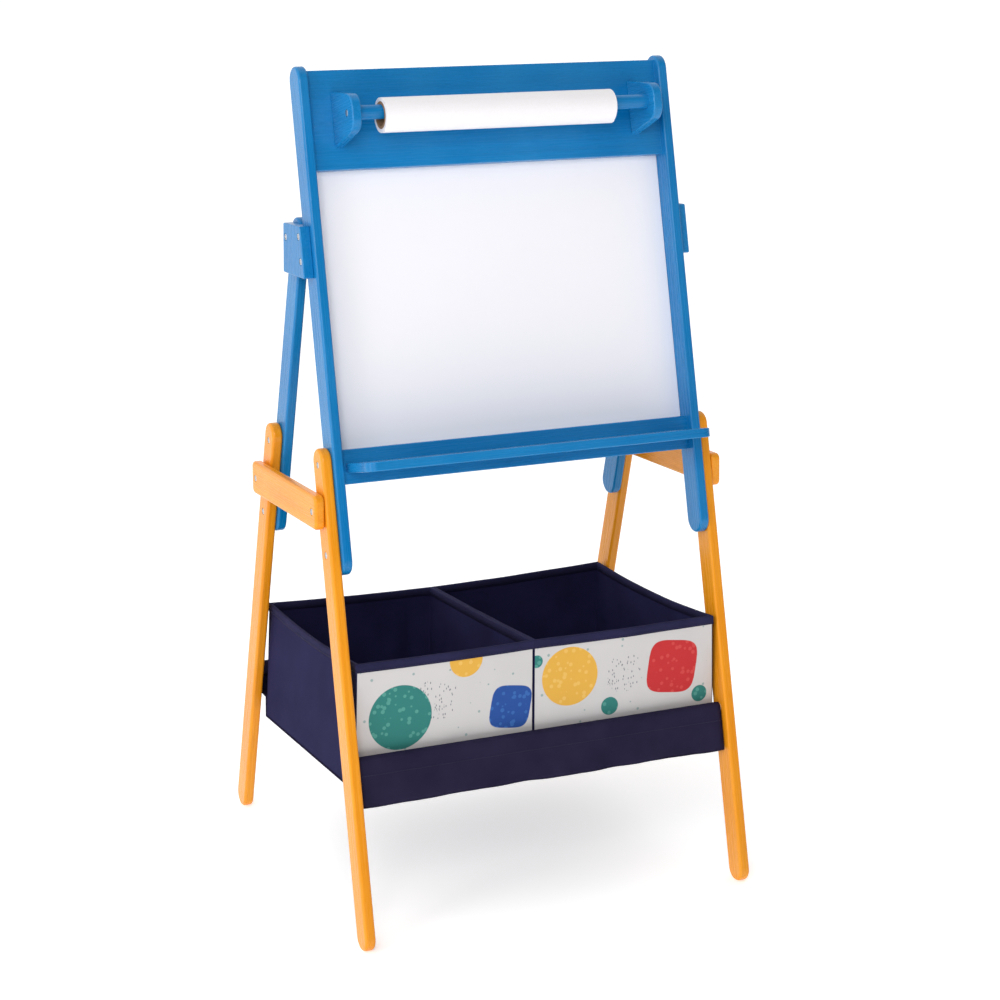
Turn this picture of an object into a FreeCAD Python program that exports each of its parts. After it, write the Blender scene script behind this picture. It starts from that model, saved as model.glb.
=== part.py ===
import FreeCAD, Part
import math
import os

os.makedirs("parts", exist_ok=True)

# A kids easel: a front frame with a drawing board leans back, a pair of rear legs hinges
# behind it, yellow lower legs lengthen both, and a fabric sling with two bins hangs between.
# Origin: floor level, midway between the feet. +X width, -Y front, +Z up. Millimetres.

# Frame widths and section sizes
inner_width = 518.0        # clear width between the two stiles
blue_thick = 14.0          # stile and rear leg, across the easel
blue_depth = 39.0          # stile and rear leg, front to back
yellow_thick = 15.0        # lower leg, across the easel
yellow_depth = 36.0        # lower leg, front to back
bar_thick = 14.0           # side crossbar
bar_height = 46.0
blue_round = 3.0           # round-over of the blue timber's long edges
yellow_round = 4.0         # round-over of the yellow timber's long edges

# Stance
foot_span = 508.0          # centre of the front foot's round end to that of the rear foot
front_lean = 14.8          # degrees the front frame leans back
foot_flat = 1.5            # how much of each round foot is flattened to stand on the floor
blue_forward = 3.5         # the blue timber's centre line lies this far in front of the yellow's

# Heights measured up the front leg's centre line, from the centre of its round foot
front_leg_top = 644.0      # top of the yellow front leg
stile_bottom = 475.0
stile_top = 1148.0
front_bolts = (503.0, 622.0)
cross_front = 562.0        # crossbar's front bolt
rail_low = 593.0
rail_high = 639.0
header_low = 1008.0
header_high = 1141.0
tray_low = 608.5
tray_thick = 12.5
roll_axis = 1075.5
sling_front = 227.0        # front sling bar
pivot_along = 928.4        # rear leg's pivot

# Heights measured up the rear leg's centre line, from the centre of its round foot
rear_leg_top = 629.0
rear_blue_bottom = 461.0
rear_bolts = (490.0, 604.0)
cross_rear = 545.0
sling_rear = 227.0

# Board
board_recess = 12.0        # header and rail sit this far behind the stiles' front
board_thick = 18.0         # header and rail
panel_thick = 3.0          # whiteboard, and chalkboard behind it
panel_lap = 16.0           # the panels overlap the header and rail by this much
panel_gap = 0.5            # panels to stiles, each side
tray_reach = 72.0          # tray in front of the stiles' front
tray_end_gap = 6.5         # tray end to stile
tray_corner = 14.0
pin_r = 4.0                # wooden pins between stiles and boards
pin_length = 34.0
pin_in_stile = 9.0
header_pin_inset = 30.0    # pins in from the header's top and bottom edges
rail_pin_inset = 9.0
panel_screw_inset = 52.0   # outer panel screws in from the stiles
panel_screw_deep = 10.0    # panel screws into the header and rail
tray_screw_inset = 72.0    # outer tray screws in from the stiles
tray_screw_deep = 30.0
board_round = 1.5          # round-over of the header's, rail's and tray's edges

# Paper roll
bracket_thick = 13.0
bracket_inner = 427.0      # clear width between the two brackets
bracket_reach = 76.0       # bracket in front of the header's face
bracket_back = 75.0        # bracket height at the header
bracket_nose = 45.0        # bracket height at its nose
bracket_round = 20.0       # nose corners, seen from the side
bracket_edge_round = 2.0
bracket_screw_apart = 36.0
bracket_screw_deep = 25.0
dowel_screw_deep = 20.0
bracket_up = 36.5          # bracket's top above the dowel axis, at the header
roll_reach = 54.0          # dowel axis in front of the header's face
dowel_r = 9.75
core_bore_r = 14.5
core_wall = 3.5
paper_r = 24.0
roll_length = 336.0
roll_shift = -11.0         # the roll hangs a little to the left
hang_gap = 0.3             # core to dowel at the top

# Hinge
leg_gap = 12.0             # stile's back to the rear leg's front when folded
hinge_thick = 14.0
hinge_above = 22.5         # block's front corner above the pivot
hinge_below = 44.5
hinge_behind = 9.5
hinge_drop = 4.3           # block's rear edge sits this much lower than its front edge
pivot_inset = 26.0         # rear leg's end beyond its pivot
hinge_setback = 10.5       # block's front edge behind the stile's front
hinge_round = 2.5
hinge_screw_drop = (5.0, 38.0)
side_gap = 0.5             # sideways gap between parts that turn past each other

# Fasteners
bolt_r = 3.0
bolt_head_r = 5.0
bolt_head_h = 3.0
bolt_cover = 4.0           # timber left beyond a blind bolt's end
head_clear = 0.2
fit_clear = 0.05           # radial clearance of a bolt or pin in its hole
cap_r = 7.0
cap_height = 4.5
insert_r = 4.5
insert_length = 11.0
screw_r = 2.0
screw_head_r = 4.0
screw_head_h = 2.0
screw_crown = 1.2          # rounding of a pan head's rim
past = 1.0                 # how far a cutting shape runs past the face that it opens

# Crossbar
bar_end = 15.0             # bar beyond its bolts
bar_corner = 8.0

# Sling and bins
sling_bar_r = 6.0
sling_bar_in_leg = 8.0
sling_thick = 1.6
sling_side_gap = 2.0
sling_wrap_gap = 0.4       # sling to bar
front_band = 67.0          # height of the sling's front and rear bands
rear_band = 53.0
bin_bar_gap = 7.0          # bins' rim to the wrapped sling bars, front
bin_rear_gap = 15.0        # the same at the back
bin_side_gap = 7.0         # bins to the yellow legs
bin_split = -10.0          # middle of the gap between the bins
bin_middle_gap = 1.5
bin_height = 173.0
bin_wall = 3.0
bin_flare = 4.0            # bottom spreads this far past the rim, front and back
bin_rim_front = 366.0
bin_rim_rear = 339.5
bin_sling_gap = 1.0
base_thick = 3.0
base_gap = 1.5


# Places worked out from the sizes: (y, z) points in the side view
def along_leg(foot_y, lean, along, back):
    """Point at a distance up a leg's centre line and a distance behind it."""
    angle = math.radians(lean)
    y = foot_y + along * math.sin(angle) + back * math.cos(angle)
    z = foot_height + along * math.cos(angle) - back * math.sin(angle)
    return y, z


half_width = inner_width / 2
blue_outer = half_width + blue_thick
yellow_outer = blue_outer + yellow_thick
bar_inner = yellow_outer + side_gap
bar_outer = bar_inner + bar_thick
rear_shift = -side_gap
foot_height = yellow_depth / 2 - foot_flat
front_foot = -foot_span / 2
rear_foot = foot_span / 2
stile_front = -blue_forward - blue_depth / 2
header_front = stile_front + board_recess
header_back = header_front + board_thick

pivot_back = -blue_forward + blue_depth + leg_gap
pivot_y, pivot_z = along_leg(front_foot, front_lean, pivot_along, pivot_back)
pivot_reach = math.hypot(rear_foot - pivot_y, pivot_z - foot_height)
pivot_angle = math.degrees(math.atan2(rear_foot - pivot_y, pivot_z - foot_height))
rear_lean = -(pivot_angle - math.degrees(math.asin(blue_forward / pivot_reach)))
rear_blue_top = math.sqrt(pivot_reach ** 2 - blue_forward ** 2) + pivot_inset

cross_front_y, cross_front_z = along_leg(front_foot, front_lean, cross_front, 0)
cross_rear_y, cross_rear_z = along_leg(rear_foot, rear_lean, cross_rear, 0)
front_bar_y, front_bar_z = along_leg(front_foot, front_lean, sling_front, 0)
rear_bar_y, rear_bar_z = along_leg(rear_foot, rear_lean, sling_rear, 0)
roll_y, roll_z = along_leg(front_foot, front_lean, roll_axis, header_front - roll_reach)
roll_drop = core_bore_r - dowel_r - hang_gap

wrap_r = sling_bar_r + sling_wrap_gap + sling_thick
bin_front_y = front_bar_y + wrap_r + bin_bar_gap
bin_rear_y = rear_bar_y - wrap_r - bin_rear_gap
bin_left_x = (-blue_outer + bin_side_gap, bin_split - bin_middle_gap / 2)
bin_right_x = (bin_split + bin_middle_gap / 2, blue_outer - bin_side_gap)


# Shared shapes
V = FreeCAD.Vector
ACROSS = V(1, 0, 0)


def save(name, shape):
    """Write one sub-part."""
    shape.exportStep("parts/" + name + ".step")


def lean_back(shape, foot_y, lean):
    """Place a shape drawn upright about a leg's foot centre."""
    moved = shape.copy()
    turn = FreeCAD.Rotation(ACROSS, -lean)
    moved.Placement = FreeCAD.Placement(V(0, foot_y, foot_height), turn)
    return moved


def front(shape):
    return lean_back(shape, front_foot, front_lean)


def rear(shape):
    return lean_back(shape, rear_foot, rear_lean)


def mirrored(shape):
    return shape.mirror(V(0, 0, 0), ACROSS)


def save_pair(name, shape):
    """A right-hand piece and its mirror image."""
    save(name + "_right", shape)
    save(name + "_left", mirrored(shape))


def rounded_faces(solid, radius, low_x, high_x):
    """Round the edges that outline a piece's two flat side faces."""
    edges = []
    for edge in solid.Edges:
        box = edge.BoundBox
        on_side = abs(box.XMin - low_x) < 0.001 or abs(box.XMax - high_x) < 0.001
        if on_side and box.XLength < 0.001:
            edges.append(edge)
    return solid.makeFillet(radius, edges)


def plank(inner_x, thick, depth, low, high, centre, radius):
    """Upright timber with half-round ends, seen from the side, and rounded long edges."""
    half = depth / 2
    points = [V(inner_x, centre - half, low + half), V(inner_x, centre - half, high - half)]
    points += [V(inner_x, centre + half, high - half), V(inner_x, centre + half, low + half)]
    front_edge = Part.LineSegment(points[0], points[1]).toShape()
    top = Part.Arc(points[1], V(inner_x, centre, high), points[2]).toShape()
    back_edge = Part.LineSegment(points[2], points[3]).toShape()
    bottom = Part.Arc(points[3], V(inner_x, centre, low), points[0]).toShape()
    face = Part.Face(Part.Wire([front_edge, top, back_edge, bottom]))
    solid = face.extrude(V(thick, 0, 0))
    return rounded_faces(solid, radius, inner_x, inner_x + thick)


def rod(low_x, high_x, radius, y, z):
    """Round bar lying across the easel."""
    return Part.makeCylinder(radius, high_x - low_x, V(low_x, y, z), ACROSS)


def bolt(head_x, end_x, y, z):
    """Bolt with its flush head's face at head_x and its shank running inwards to end_x."""
    head = rod(head_x - bolt_head_h, head_x, bolt_head_r, y, z)
    shank = rod(end_x, head_x - bolt_head_h, bolt_r, y, z)
    return head.fuse(shank).removeSplitter()


def bolt_hole(face_x, end_x, y, z):
    """Counterbore for a flush head, and the clearance hole below it."""
    seat = rod(face_x - bolt_head_h - head_clear, face_x + past, bolt_head_r + head_clear, y, z)
    return seat.fuse(rod(end_x, face_x, bolt_r + fit_clear, y, z))


def side_plate(points, low_x, high_x):
    """Plate of an outline given as (y, z) points."""
    corners = [V(low_x, y, z) for y, z in points]
    face = Part.Face(Part.makePolygon(corners + corners[:1]))
    return face.extrude(V(high_x - low_x, 0, 0))


def round_corners(solid, radius, picked):
    """Round the edges that run across the easel where picked(y, z) is true."""
    edges = []
    for edge in solid.Edges:
        box = edge.BoundBox
        across = box.YLength < 0.001 and box.ZLength < 0.001
        if across and picked(box.YMin, box.ZMin):
            edges.append(edge)
    return solid.makeFillet(radius, edges)


def floor_cut(shape):
    """Flatten a foot where it meets the floor."""
    box = shape.BoundBox
    width = box.XLength + 2 * past
    depth = box.YLength + 2 * past
    corner = V(box.XMin - past, box.YMin - past, -foot_flat - past)
    return shape.cut(Part.makeBox(width, depth, foot_flat + past, corner))


# Stiles: the blue uprights of the front frame
stile = plank(half_width, blue_thick, blue_depth, stile_bottom, stile_top, -blue_forward, blue_round)
blind_end = half_width + bolt_cover
hole_r = bolt_r + fit_clear
for height in front_bolts:
    stile = stile.cut(rod(blind_end, blue_outer + past, hole_r, 0, height))
for drop in hinge_screw_drop:
    stile = stile.cut(rod(blind_end, blue_outer + past, hole_r, -blue_forward, pivot_along - drop))
board_middle = header_front + board_thick / 2
header_pins = (header_low + header_pin_inset, header_high - header_pin_inset)
rail_pins = (rail_low + rail_pin_inset, rail_high - rail_pin_inset)
pin_hole_end = half_width + pin_in_stile + fit_clear
for height in header_pins + rail_pins:
    stile = stile.cut(rod(half_width - past, pin_hole_end, pin_r + fit_clear, board_middle, height))
save_pair("stile", front(stile))

# Header board and bottom rail, pinned between the stiles
pin_in_board = pin_length - pin_in_stile
boards = {"header_board": (header_low, header_high, header_pins)}
boards["bottom_rail"] = (rail_low, rail_high, rail_pins)
tray_screw_z = tray_low + tray_thick / 2
bracket_x = bracket_inner / 2 + bracket_thick / 2
bracket_screw_z = (roll_axis - bracket_screw_apart / 2, roll_axis + bracket_screw_apart / 2)
tray_screw_side = half_width - tray_screw_inset
tray_screw_x = (-tray_screw_side, 0, tray_screw_side)
back_screws = {"header_board": [], "bottom_rail": []}
for height in bracket_screw_z:
    back_screws["header_board"] += [(-bracket_x, height), (bracket_x, height)]
for place in tray_screw_x:
    back_screws["bottom_rail"].append((place, tray_screw_z))
panel_low = rail_high - panel_lap
panel_high = header_low + panel_lap
panel_screw_side = half_width - panel_screw_inset
panel_screw_x = (-panel_screw_side, 0, panel_screw_side)
panel_screw_z = (rail_high - panel_lap / 2, header_low + panel_lap / 2)
panel_back = header_back + 2 * panel_thick


def back_screw(x, z, face, deep):
    """Pan-head wood screw driven in from the back."""
    head = Part.makeCylinder(screw_head_r, screw_head_h, V(x, face, z), V(0, 1, 0))
    head = head.makeFillet(screw_crown, [head.Edges[0]])
    shank = Part.makeCylinder(screw_r, deep, V(x, face - deep, z), V(0, 1, 0))
    return head.fuse(shank).removeSplitter()


def back_hole(x, z, face, deep):
    """Hole for a back screw's shank, open at the face."""
    start = V(x, face - deep - fit_clear, z)
    return Part.makeCylinder(screw_r + fit_clear, deep + fit_clear + past, start, V(0, 1, 0))


for name, (low, high, pin_heights) in boards.items():
    corner = V(-half_width, header_front, low)
    board = Part.makeBox(inner_width, board_thick, high - low, corner)
    long_edges = [e for e in board.Edges if abs(e.BoundBox.XLength - inner_width) < 0.001]
    front_edges = [e for e in long_edges if abs(e.BoundBox.YMin - header_front) < 0.001]
    board = board.makeFillet(board_round, front_edges)
    for height in pin_heights:
        for side in (-1, 1):
            face_x = side * half_width
            inner_x = side * (half_width - pin_in_board - fit_clear)
            low_x, high_x = sorted((face_x, inner_x))
            board = board.cut(rod(low_x, high_x, pin_r + fit_clear, board_middle, height))
    for x, z in back_screws[name]:
        board = board.cut(back_hole(x, z, header_back, board_thick))
    for z in panel_screw_z:
        for x in panel_screw_x:
            board = board.cut(back_hole(x, z, header_back, panel_screw_deep))
    save(name, front(board))

pins = []
for height in header_pins + rail_pins:
    for side in (-1, 1):
        ends = (side * (half_width + pin_in_stile), side * (half_width - pin_in_board))
        pins.append(rod(min(ends), max(ends), pin_r, board_middle, height))
save("frame_pins", front(Part.makeCompound(pins)))

# Drawing panels: a whiteboard, with a chalkboard as its reverse
panels = {"whiteboard": header_back, "chalkboard": header_back + panel_thick}
for name, face in panels.items():
    width = inner_width - 2 * panel_gap
    panel = Part.makeBox(width, panel_thick, panel_high - panel_low, V(-width / 2, face, panel_low))
    for z in panel_screw_z:
        for x in panel_screw_x:
            panel = panel.cut(back_hole(x, z, face + panel_thick, panel_thick))
    save(name, front(panel))

panel_screws = []
for z in panel_screw_z:
    for x in panel_screw_x:
        panel_screws.append(back_screw(x, z, panel_back, 2 * panel_thick + panel_screw_deep))
save("panel_screws", front(Part.makeCompound(panel_screws)))

# Tray: a ledge with rounded front corners, screwed to the rail from behind
tray_width = inner_width - 2 * tray_end_gap
tray_front = stile_front - tray_reach
corner = V(-tray_width / 2, tray_front, tray_low)
tray = Part.makeBox(tray_width, header_front - tray_front, tray_thick, corner)
corners = [e for e in tray.Edges if e.BoundBox.YMax < tray_front + 0.001 and e.BoundBox.ZLength > 1]
tray = tray.makeFillet(tray_corner, corners)
flat_edges = [e for e in tray.Edges if e.BoundBox.ZLength < 0.001]
rims = [e for e in flat_edges if e.BoundBox.YMin < header_front - board_round]
tray = tray.makeFillet(board_round, rims)
for x in tray_screw_x:
    tray = tray.cut(back_hole(x, tray_screw_z, header_front, tray_screw_deep))
save("tray", front(tray))
tray_screw_length = board_thick + tray_screw_deep
tray_screws = [back_screw(x, tray_screw_z, header_back, tray_screw_length) for x in tray_screw_x]
save("tray_screws", front(Part.makeCompound(tray_screws)))

# Roll brackets, the dowel between them, and the screws that hold both
bracket_low_x = bracket_inner / 2
bracket_high_x = bracket_low_x + bracket_thick
nose = header_front - bracket_reach
bracket_top = roll_axis + bracket_up
nose_top = bracket_top - (bracket_back - bracket_nose) / 2
outline = [(header_front, bracket_top), (nose, nose_top)]
outline += [(nose, nose_top - bracket_nose), (header_front, bracket_top - bracket_back)]
bracket = side_plate(outline, bracket_low_x, bracket_high_x)
bracket = round_corners(bracket, bracket_round, lambda y, z: y < nose + 0.001)
bracket = rounded_faces(bracket, bracket_edge_round, bracket_low_x, bracket_high_x)
dowel_y = header_front - roll_reach
bracket = bracket.cut(bolt_hole(bracket_high_x, bracket_low_x - past, dowel_y, roll_axis))
for x, z in back_screws["header_board"]:
    if x > 0:
        bracket = bracket.cut(back_hole(x, z, header_front, bracket_screw_deep))
save_pair("roll_bracket", front(bracket))

dowel = rod(-bracket_low_x, bracket_low_x, dowel_r, dowel_y, roll_axis)
dowel_screw_end = bracket_low_x - dowel_screw_deep
dowel_screw = bolt(bracket_high_x, dowel_screw_end, dowel_y, roll_axis)
hole = rod(dowel_screw_end - fit_clear, bracket_low_x + past, hole_r, dowel_y, roll_axis)
dowel = dowel.cut(hole).cut(mirrored(hole))
save("roll_dowel", front(dowel))
save("dowel_screws", front(Part.makeCompound([dowel_screw, mirrored(dowel_screw)])))
bracket_screws = []
for x, z in back_screws["header_board"]:
    bracket_screws.append(back_screw(x, z, header_back, board_thick + bracket_screw_deep))
save("bracket_screws", front(Part.makeCompound(bracket_screws)))

# Paper roll: paper wound on a card core that hangs loose on the dowel
roll_low = roll_shift - roll_length / 2
roll_high = roll_low + roll_length
core_outer = core_bore_r + core_wall
hang_z = roll_z - roll_drop
core = rod(roll_low, roll_high, core_outer, roll_y, hang_z)
core = core.cut(rod(roll_low - past, roll_high + past, core_bore_r, roll_y, hang_z))
paper = rod(roll_low, roll_high, paper_r, roll_y, hang_z)
paper = paper.cut(rod(roll_low - past, roll_high + past, core_outer + fit_clear, roll_y, hang_z))
save("roll_core", core)
save("paper_roll", paper)



# Hinge blocks: flat plates that join each stile to its rear leg
def stile_edge(z):
    """The block's front edge at a height: parallel to the stile, behind its front."""
    angle = math.radians(front_lean)
    start_y, start_z = along_leg(front_foot, front_lean, pivot_along, stile_front + hinge_setback)
    return start_y + (z - start_z) * math.tan(angle)


block_top = pivot_z + hinge_above
block_bottom = pivot_z - hinge_below
outline = [(stile_edge(block_bottom), block_bottom), (stile_edge(block_top), block_top)]
block_back = pivot_y + hinge_behind
outline += [(block_back, block_top - hinge_drop), (block_back, block_bottom - hinge_drop)]
hinge_outer = blue_outer + hinge_thick
block = side_plate(outline, blue_outer, hinge_outer)
block = round_corners(block, hinge_round, lambda y, z: True)
block = rounded_faces(block, hinge_round / 2, blue_outer, hinge_outer)
block = block.cut(bolt_hole(hinge_outer, blue_outer - past, pivot_y, pivot_z))
hinge_screws = []
for drop in hinge_screw_drop:
    y, z = along_leg(front_foot, front_lean, pivot_along - drop, -blue_forward)
    block = block.cut(bolt_hole(hinge_outer, blue_outer - past, y, z))
    hinge_screws.append(bolt(hinge_outer, blind_end + fit_clear, y, z))
save_pair("hinge_block", block)
hinge_screws += [mirrored(piece) for piece in hinge_screws]
save("hinge_screws", Part.makeCompound(hinge_screws))

# Pivot bolts run through block and rear leg, and end in round cap nuts inside
leg_inner = half_width + rear_shift
nut_face = leg_inner - side_gap
pivot = bolt(hinge_outer, nut_face - cap_height / 2, pivot_y, pivot_z)
save("pivot_bolts", Part.makeCompound([pivot, mirrored(pivot)]))
nut = rod(nut_face - cap_height, nut_face, cap_r, pivot_y, pivot_z)
inner_rim = [e for e in nut.Edges if e.BoundBox.XMax < nut_face - cap_height + 0.001]
nut = nut.makeFillet(cap_height / 2, inner_rim)
nut = nut.cut(rod(nut_face - cap_height / 2 - fit_clear, nut_face + past, hole_r, pivot_y, pivot_z))
save("pivot_nuts", Part.makeCompound([nut, mirrored(nut)]))

# Rear blue legs
rear_outer = leg_inner + blue_thick
ends = (rear_blue_bottom, rear_blue_top)
rear_leg = plank(leg_inner, blue_thick, blue_depth, *ends, -blue_forward, blue_round)
pivot_up = rear_blue_top - pivot_inset
rear_leg = rear_leg.cut(rod(leg_inner - past, rear_outer + past, hole_r, -blue_forward, pivot_up))
rear_blind_end = leg_inner + bolt_cover
for height in rear_bolts:
    rear_leg = rear_leg.cut(rod(rear_blind_end, rear_outer + past, hole_r, 0, height))
save_pair("rear_leg", rear(rear_leg))

# Yellow lower legs, bolted outside the blue timber, flattened at the feet
foot_low = -yellow_depth / 2
bar_hole_deep = sling_bar_in_leg + fit_clear


def lower_leg(inner_x, high, bolts, bar_along):
    leg = plank(inner_x, yellow_thick, yellow_depth, foot_low, high, 0, yellow_round)
    for height in bolts:
        leg = leg.cut(bolt_hole(inner_x + yellow_thick, inner_x - past, 0, height))
    return leg.cut(rod(inner_x - past, inner_x + bar_hole_deep, sling_bar_r + fit_clear, 0, bar_along))


front_leg = lower_leg(blue_outer, front_leg_top, front_bolts, sling_front)
insert_end = yellow_outer - insert_length
insert_hole = rod(insert_end, yellow_outer + past, insert_r + fit_clear, 0, cross_front)
save_pair("lower_leg_front", floor_cut(front(front_leg.cut(insert_hole))))
rear_lower_leg = lower_leg(rear_outer, rear_leg_top, rear_bolts, sling_rear)
rear_face = rear_outer + yellow_thick
cross_end = rear_outer + bolt_cover
cross_hole = rod(cross_end - fit_clear, rear_face + past, hole_r, 0, cross_rear)
save_pair("lower_leg_rear", floor_cut(rear(rear_lower_leg.cut(cross_hole))))

front_leg_bolts = [bolt(yellow_outer, blind_end + fit_clear, 0, height) for height in front_bolts]
front_leg_bolts += [mirrored(piece) for piece in front_leg_bolts]
save("front_leg_bolts", front(Part.makeCompound(front_leg_bolts)))
rear_leg_bolts = [bolt(rear_face, rear_blind_end + fit_clear, 0, height) for height in rear_bolts]
rear_leg_bolts += [mirrored(piece) for piece in rear_leg_bolts]
save("rear_leg_bolts", rear(Part.makeCompound(rear_leg_bolts)))

# Side crossbars: they turn on a bolt in the rear leg and are bolted to the front leg
bar_length = math.hypot(cross_rear_y - cross_front_y, cross_rear_z - cross_front_z)
bar_tilt = math.degrees(math.atan2(cross_rear_z - cross_front_z, cross_rear_y - cross_front_y))
half_bar = bar_height / 2
outline = [(-bar_end, -half_bar), (bar_length + bar_end, -half_bar)]
outline += [(bar_length + bar_end, half_bar), (-bar_end, half_bar)]
bar = side_plate(outline, bar_inner, bar_outer)
bar = round_corners(bar, bar_corner, lambda y, z: True)
bar = rounded_faces(bar, yellow_round, bar_inner, bar_outer)
for place in (0, bar_length):
    bar = bar.cut(bolt_hole(bar_outer, bar_inner - past, place, 0))
bar_turn = FreeCAD.Rotation(ACROSS, bar_tilt)
bar.Placement = FreeCAD.Placement(V(0, cross_front_y, cross_front_z), bar_turn)
save_pair("crossbar", bar)

bar_pivot = bolt(bar_outer, cross_end, cross_rear_y, cross_rear_z)
save("crossbar_pivots", Part.makeCompound([bar_pivot, mirrored(bar_pivot)]))
save_pair("crossbar_bolt", bolt(bar_outer, bar_inner, cross_front_y, cross_front_z))
insert = rod(insert_end + fit_clear, yellow_outer, insert_r, 0, cross_front)
insert = insert.cut(rod(insert_end, yellow_outer + past, bolt_r, 0, cross_front))
save("crossbar_inserts", front(Part.makeCompound([insert, mirrored(insert)])))

# Sling bars, held in blind holes in the lower legs
front_reach = blue_outer + sling_bar_in_leg
save("sling_bar_front", rod(-front_reach, front_reach, sling_bar_r, front_bar_y, front_bar_z))
rear_reach = rear_outer + sling_bar_in_leg
save("sling_bar_rear", rod(-rear_reach, rear_reach, sling_bar_r, rear_bar_y, rear_bar_z))

# Bins: open boxes whose rim and floor slope down to the back
bin_low_front = bin_rim_front - bin_height
bin_low_rear = bin_rim_rear - bin_height
outer_front = bin_front_y - bin_flare
outer_rear = bin_rear_y + bin_flare
bin_outline = [(bin_front_y, bin_rim_front), (outer_front, bin_low_front)]
bin_outline += [(outer_rear, bin_low_rear), (bin_rear_y, bin_rim_rear)]
floor_front = bin_low_front + bin_wall
floor_rear = bin_low_rear + bin_wall
hollow = [(bin_front_y + bin_wall, bin_rim_front + past), (outer_front + bin_wall, floor_front)]
hollow += [(outer_rear - bin_wall, floor_rear), (bin_rear_y - bin_wall, bin_rim_rear + past)]
base_front = outer_front + bin_wall + base_gap
base_rear = outer_rear - bin_wall - base_gap
slope = (floor_rear - floor_front) / (outer_rear - outer_front - 2 * bin_wall)
base_low = floor_front + slope * base_gap
base_end = floor_rear - slope * base_gap
base = [(base_front, base_low), (base_rear, base_end)]
base += [(base_rear, base_end + base_thick), (base_front, base_low + base_thick)]
for name, (low_x, high_x) in (("left", bin_left_x), ("right", bin_right_x)):
    box = side_plate(bin_outline, low_x, high_x)
    box = box.cut(side_plate(hollow, low_x + bin_wall, high_x - bin_wall))
    save("bin_" + name, box)
    inset = bin_wall + base_gap
    save("bin_base_" + name, side_plate(base, low_x + inset, high_x - inset))

# Sling: one strip of cloth from bar to bar, under the bins
half_cloth = sling_thick / 2
cloth_out = wrap_r - half_cloth
front_low = sling_front + wrap_r - front_band
rear_low = sling_rear + wrap_r - rear_band
band_front = along_leg(front_foot, front_lean, sling_front, -cloth_out)
band_front_low = along_leg(front_foot, front_lean, front_low, -cloth_out)
band_rear = along_leg(rear_foot, rear_lean, sling_rear, cloth_out)
band_rear_low = along_leg(rear_foot, rear_lean, rear_low, cloth_out)
under = bin_sling_gap + half_cloth
path = [band_front, band_front_low, (outer_front, bin_low_front - under)]
behind_bins = outer_rear + under
path += [(behind_bins, bin_low_rear - under), (behind_bins, band_rear_low[1])]
path += [band_rear_low, band_rear]
sling_x = blue_outer - sling_side_gap
sling = None
for (y1, z1), (y2, z2) in zip(path, path[1:]):
    length = math.hypot(y2 - y1, z2 - z1)
    side_y = (z2 - z1) / length * half_cloth
    side_z = -(y2 - y1) / length * half_cloth
    strip = [(y1 + side_y, z1 + side_z), (y2 + side_y, z2 + side_z)]
    strip += [(y2 - side_y, z2 - side_z), (y1 - side_y, z1 - side_z)]
    piece = side_plate(strip, -sling_x, sling_x)
    sling = piece if sling is None else sling.fuse(piece)
for y, z in path[1:-1]:
    sling = sling.fuse(rod(-sling_x, sling_x, half_cloth, y, z))
for y, z in ((front_bar_y, front_bar_z), (rear_bar_y, rear_bar_z)):
    sling = sling.fuse(rod(-sling_x, sling_x, wrap_r, y, z))
    sling = sling.cut(rod(-sling_x - past, sling_x + past, wrap_r - sling_thick, y, z))
save("storage_sling", sling.removeSplitter())
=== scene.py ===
import math
import bmesh
import bpy
from mathutils import Matrix, Vector, noise


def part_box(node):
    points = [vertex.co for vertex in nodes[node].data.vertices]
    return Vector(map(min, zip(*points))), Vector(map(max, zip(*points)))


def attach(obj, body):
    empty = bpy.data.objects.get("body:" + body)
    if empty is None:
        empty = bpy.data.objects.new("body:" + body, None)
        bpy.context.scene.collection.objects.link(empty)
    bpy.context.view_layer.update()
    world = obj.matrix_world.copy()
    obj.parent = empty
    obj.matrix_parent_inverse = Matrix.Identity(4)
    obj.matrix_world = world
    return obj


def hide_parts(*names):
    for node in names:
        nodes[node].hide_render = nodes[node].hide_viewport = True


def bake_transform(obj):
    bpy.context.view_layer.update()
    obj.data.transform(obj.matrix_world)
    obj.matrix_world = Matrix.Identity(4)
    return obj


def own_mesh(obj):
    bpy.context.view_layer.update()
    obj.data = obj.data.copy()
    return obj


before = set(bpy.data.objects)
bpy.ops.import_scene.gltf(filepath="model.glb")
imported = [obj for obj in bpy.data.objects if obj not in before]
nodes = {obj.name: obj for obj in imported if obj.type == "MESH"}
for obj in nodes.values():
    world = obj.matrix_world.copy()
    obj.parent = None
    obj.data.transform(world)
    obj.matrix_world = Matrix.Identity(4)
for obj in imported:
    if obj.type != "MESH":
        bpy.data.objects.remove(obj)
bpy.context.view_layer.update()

# Camera
# It looks down a little at the easel from in front and from the easel's left.
def in_scene(name, data):
    """A new object in the scene."""
    made = bpy.data.objects.new(name, data)
    bpy.context.scene.collection.objects.link(made)
    return made


eye = Vector((-1.2813, -2.8598, 1.4196))
yaw = math.radians(23.372)
pitch = math.radians(-12.937)
tilt = math.radians(0.513)
ahead = Vector((math.sin(yaw) * math.cos(pitch), math.cos(yaw) * math.cos(pitch), math.sin(pitch)))
level = Vector((math.cos(yaw), -math.sin(yaw), 0))
above = level.cross(ahead)
camera_right = level * math.cos(tilt) + above * math.sin(tilt)
camera_up = above * math.cos(tilt) - level * math.sin(tilt)
camera_data = bpy.data.cameras.new("camera")
camera_data.sensor_width = 36
camera_data.lens = 83.18
camera_data.shift_x = 0.041
camera_data.shift_y = -0.1285
camera = in_scene("camera", camera_data)
camera.matrix_world = Matrix((camera_right, camera_up, -ahead)).transposed().to_4x4()
camera.location = eye
bpy.context.scene.camera = camera


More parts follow.
